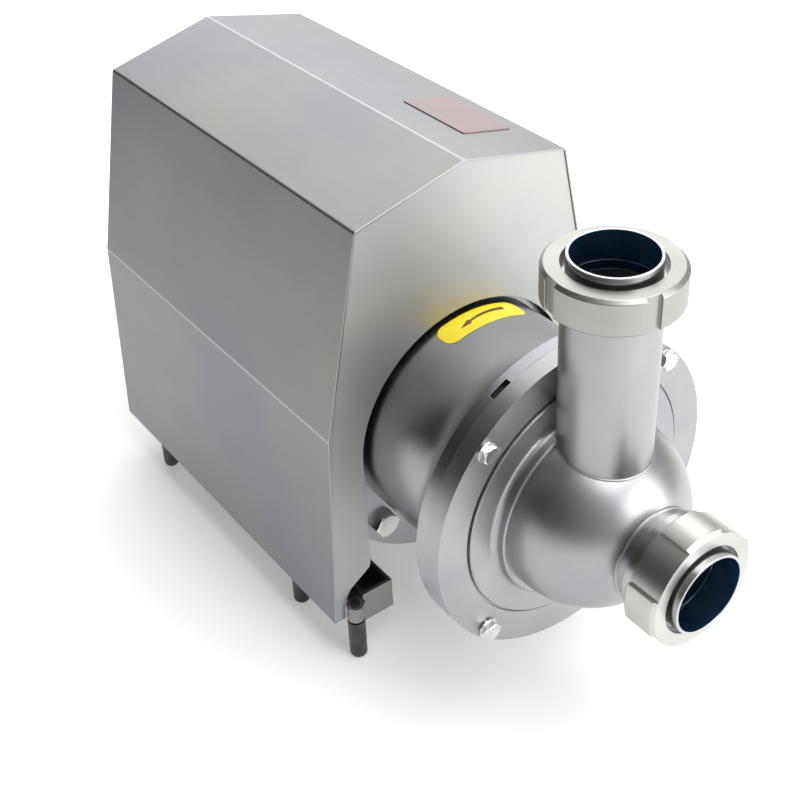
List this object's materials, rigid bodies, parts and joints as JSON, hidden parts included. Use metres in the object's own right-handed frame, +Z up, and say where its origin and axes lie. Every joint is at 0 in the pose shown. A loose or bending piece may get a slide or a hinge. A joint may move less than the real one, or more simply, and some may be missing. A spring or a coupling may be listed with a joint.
{
  "type": "sanitary centrifugal pump",
  "caption": "Close-coupled sanitary centrifugal pump: motor under a folded shroud, drum lantern, round casing, suction union in front and delivery union on top",
  "frame": {"origin": "on the floor, under the middle of the bounding box", "axes": "+Z up, -Y along the shaft from the motor to the suction union, +X to the right when facing +Y"},
  "size_m": [0.268, 0.5964, 0.3979],
  "materials": {
    "shroud_steel": "satin sheet",
    "bare_plate": "matt",
    "chassis_steel": "mill finish",
    "foot_steel": "turned",
    "fastener_steel": "plain",
    "casing_bolt_steel": "bright",
    "lantern_steel": "fine blasted",
    "casing_steel": "satin",
    "union_steel": "turned",
    "nut_steel": "polished and turned",
    "liner_steel": "polished",
    "motor_paint": "semi-gloss enamel",
    "core_iron": "stamped sheets",
    "winding_copper": "varnished copper wire",
    "cage_aluminium": "die cast",
    "bearing_steel": "ground",
    "cage_polymer": "moulded",
    "shaft_steel": "ground",
    "impeller_steel": "cast and polished",
    "fan_polymer": "moulded",
    "terminal_polymer": "moulded",
    "gasket_rubber": "moulded",
    "label_film": "printed film",
    "seal_ceramic": "lapped ceramic",
    "seal_carbon": "lapped carbon",
    "seal_steel": "drawn wire"
  },
  "bodies": {
    "pump_frame": {"shroud_cover": "shroud_steel", "front_panel": "shroud_steel", "rear_panel": "shroud_steel", "nameplate": "bare_plate", "rail_left": "chassis_steel", "rail_right": "chassis_steel", "bridges": "chassis_steel", "shroud_fasteners": "fastener_steel", "motor_foot_bolts": "fastener_steel", "motor_tie_bolts": "fastener_steel", "terminal_box_screws": "fastener_steel", "lantern_bolts": "fastener_steel", "casing_bolts": "casing_bolt_steel", "lantern": "lantern_steel", "casing_cover": "casing_steel", "casing_back_plate": "casing_steel", "suction_tube": "casing_steel", "inlet_male_end": "union_steel", "outlet_male_end": "union_steel", "motor_frame": "motor_paint", "drive_end_shield": "motor_paint", "rear_end_shield": "motor_paint", "fan_cover": "motor_paint", "terminal_box": "motor_paint", "terminal_box_lid": "motor_paint", "stator_core": "core_iron", "stator_windings": "winding_copper", "bearing_outer_rings": "bearing_steel", "terminal_block": "terminal_polymer", "cable_gland": "terminal_polymer", "inlet_gasket": "gasket_rubber", "outlet_gasket": "gasket_rubber", "casing_ring_seal": "gasket_rubber", "rotation_label": "label_film", "seal_seat": "seal_ceramic"},
    "rotor": {"rotor_core": "core_iron", "rotor_cage": "cage_aluminium", "motor_shaft": "shaft_steel", "bearing_inner_rings": "bearing_steel", "cooling_fan": "fan_polymer", "shaft_keys": "shaft_steel", "stub_shaft": "shaft_steel", "shaft_clamp_ring": "shaft_steel", "impeller": "impeller_steel", "impeller_nut": "impeller_steel", "seal_ring": "seal_carbon", "seal_spring": "seal_steel", "seal_collar": "seal_steel"},
    "ball_cages": {"bearing_balls": "bearing_steel", "bearing_cages": "cage_polymer"},
    "inlet_liner": {"inlet_liner": "liner_steel"},
    "inlet_nut": {"inlet_nut": "nut_steel"},
    "outlet_liner": {"outlet_liner": "liner_steel"},
    "outlet_nut": {"outlet_nut": "nut_steel"},
    "foot_front_left": {"foot_front_left": "foot_steel"},
    "foot_front_right": {"foot_front_right": "foot_steel"},
    "foot_middle_left": {"foot_middle_left": "foot_steel"},
    "foot_middle_right": {"foot_middle_right": "foot_steel"},
    "foot_rear_left": {"foot_rear_left": "foot_steel"},
    "foot_rear_right": {"foot_rear_right": "foot_steel"}
  },
  "joints": [
    {"name": "shaft_spin", "type": "hinge", "parent": "pump_frame", "child": "rotor", "pos_m": [0, -0.05175, 0.182], "axis": [0, 1, 0], "continuous": true},
    {"name": "bearing_cage_spin", "type": "hinge", "parent": "pump_frame", "child": "ball_cages", "pos_m": [0, -0.01375, 0.182], "axis": [0, 1, 0], "continuous": true},
    {"name": "inlet_liner_slide", "type": "slide", "parent": "pump_frame", "child": "inlet_liner", "axis": [0, -1, 0], "range_m": [0, 0.0053]},
    {"name": "inlet_nut_turn", "type": "hinge", "parent": "inlet_liner", "child": "inlet_nut", "pos_m": [0, -0.27975, 0.182], "axis": [0, -1, 0], "range_deg": [0, 450]},
    {"name": "outlet_liner_slide", "type": "slide", "parent": "pump_frame", "child": "outlet_liner", "axis": [0, 0, 1], "range_m": [0, 0.0053]},
    {"name": "outlet_nut_turn", "type": "hinge", "parent": "outlet_liner", "child": "outlet_nut", "pos_m": [0, -0.19725, 0.373], "axis": [0, 0, 1], "range_deg": [0, 450]},
    {"name": "foot_front_left_height", "type": "slide", "parent": "pump_frame", "child": "foot_front_left", "axis": [0, 0, -1], "range_m": [-0.0015, 0.01]},
    {"name": "foot_front_right_height", "type": "slide", "parent": "pump_frame", "child": "foot_front_right", "axis": [0, 0, -1], "range_m": [-0.0015, 0.01]},
    {"name": "foot_middle_left_height", "type": "slide", "parent": "pump_frame", "child": "foot_middle_left", "axis": [0, 0, -1], "range_m": [-0.0015, 0.01]},
    {"name": "foot_middle_right_height", "type": "slide", "parent": "pump_frame", "child": "foot_middle_right", "axis": [0, 0, -1], "range_m": [-0.0015, 0.01]},
    {"name": "foot_rear_left_height", "type": "slide", "parent": "pump_frame", "child": "foot_rear_left", "axis": [0, 0, -1], "range_m": [-0.0015, 0.01]},
    {"name": "foot_rear_right_height", "type": "slide", "parent": "pump_frame", "child": "foot_rear_right", "axis": [0, 0, -1], "range_m": [-0.0015, 0.01]}
  ],
  "couplings": [
    {"joint": "bearing_cage_spin", "follows": "shaft_spin", "ratio": 0.3965},
    {"joint": "inlet_liner_slide", "follows": "inlet_nut_turn", "m_per_rad": 0.00067375},
    {"joint": "outlet_liner_slide", "follows": "outlet_nut_turn", "m_per_rad": 0.00067375}
  ]
}
